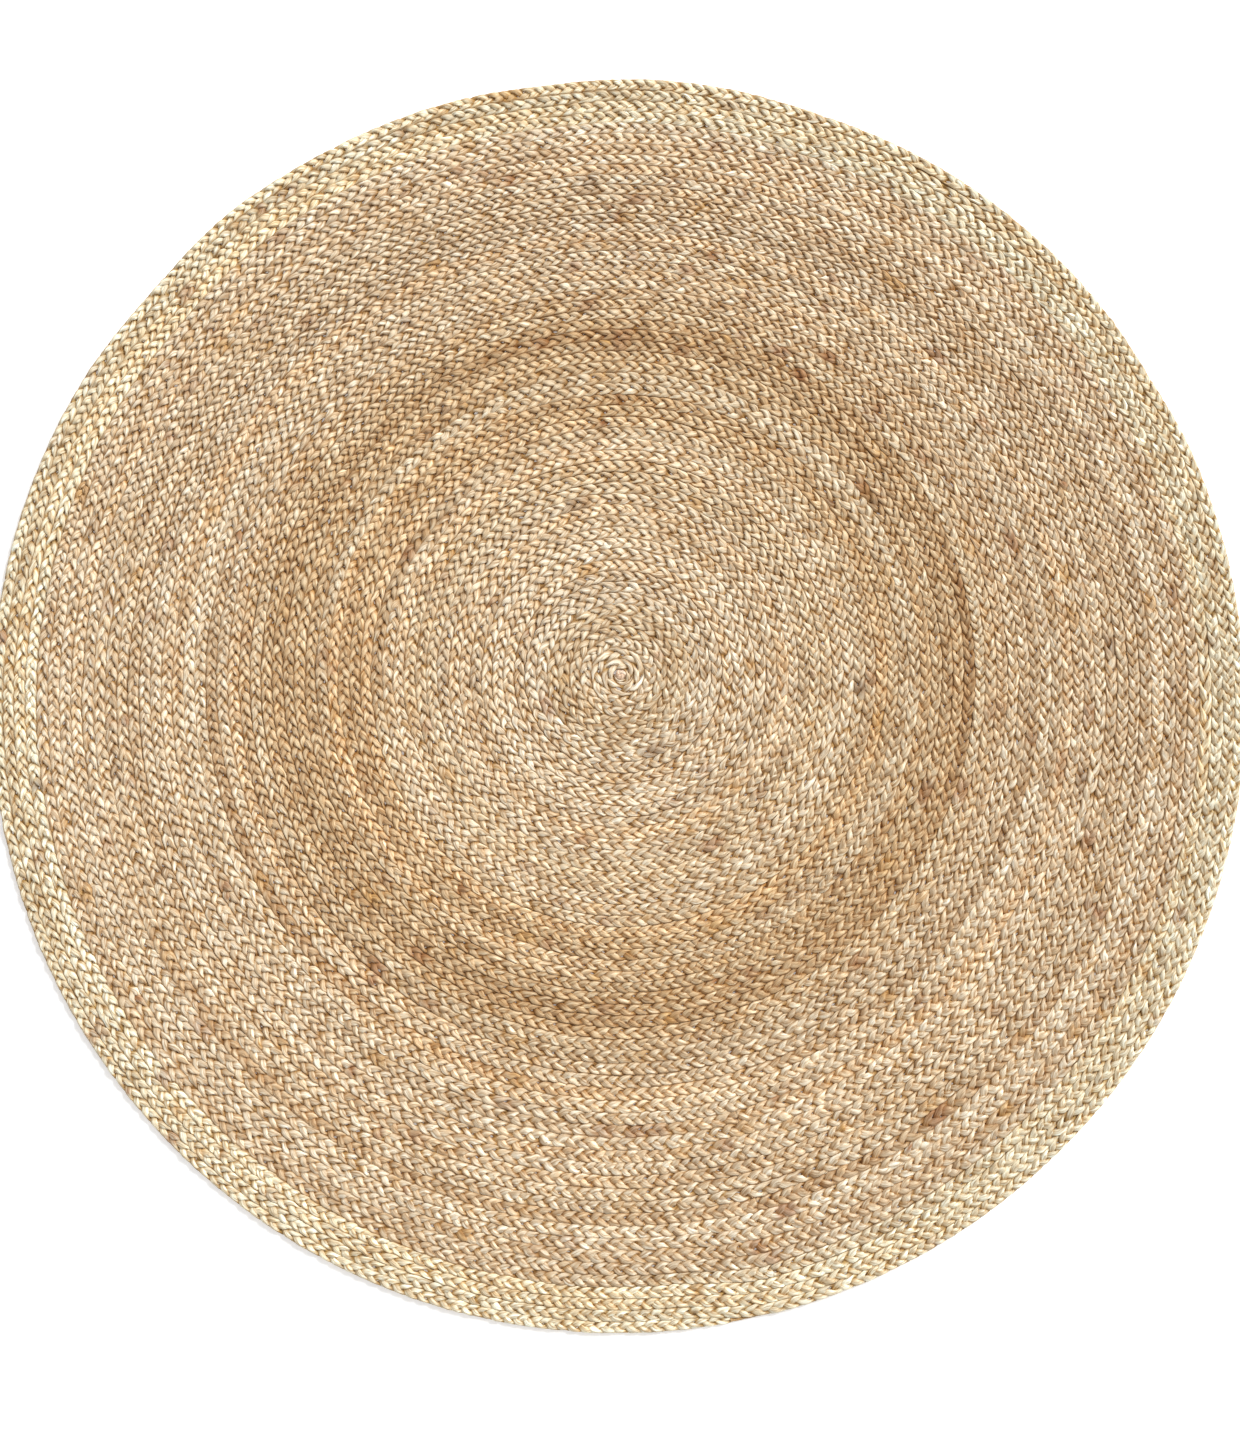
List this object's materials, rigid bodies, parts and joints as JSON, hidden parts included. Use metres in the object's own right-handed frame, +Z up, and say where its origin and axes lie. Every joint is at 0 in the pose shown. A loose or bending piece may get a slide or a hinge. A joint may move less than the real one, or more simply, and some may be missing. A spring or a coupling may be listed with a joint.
{
  "type": "round braided area rug",
  "caption": "Round area rug of natural jute: a flat three-strand braid wound in a flat coil and sewn edge to edge with thread on the underside.",
  "frame": {"origin": "middle of the round rim, on the floor under the rug", "axes": "+Z up out of the rug's face, +Y towards the side that the middle of the coil is nearer to, +X to the right"},
  "size_m": [1.5, 1.5, 0.009],
  "materials": {
    "bleached_jute": "matt plaited jute, palest cream",
    "pale_jute": "matt plaited jute, pale grey cream",
    "cream_jute": "matt plaited jute, warm cream",
    "wheat_jute": "matt plaited jute, wheat brown",
    "honey_jute": "matt plaited jute, golden brown",
    "jute_thread": "matt twisted jute sewing thread"
  },
  "bodies": {
    "root": {"start_binding": "jute_thread", "braid_length_01": "cream_jute", "braid_length_02": "wheat_jute", "braid_length_03": "pale_jute", "braid_length_04": "cream_jute", "braid_length_05": "wheat_jute", "braid_length_06": "cream_jute", "braid_length_07": "wheat_jute", "braid_length_08": "honey_jute", "braid_length_09": "wheat_jute", "braid_length_10": "honey_jute", "braid_length_11": "wheat_jute", "braid_length_12": "cream_jute", "braid_length_13": "pale_jute", "braid_length_14": "cream_jute", "braid_length_15": "pale_jute", "braid_length_16": "bleached_jute", "sewing_thread_01": "jute_thread", "sewing_thread_02": "jute_thread", "sewing_thread_03": "jute_thread", "sewing_thread_04": "jute_thread", "sewing_thread_05": "jute_thread", "sewing_thread_06": "jute_thread", "sewing_thread_07": "jute_thread", "sewing_thread_08": "jute_thread", "sewing_thread_09": "jute_thread", "sewing_thread_10": "jute_thread", "sewing_thread_11": "jute_thread", "sewing_thread_12": "jute_thread", "sewing_thread_13": "jute_thread", "sewing_thread_14": "jute_thread", "sewing_thread_15": "jute_thread", "sewing_thread_16": "jute_thread", "tail_binding": "jute_thread"}
  },
  "joints": []
}
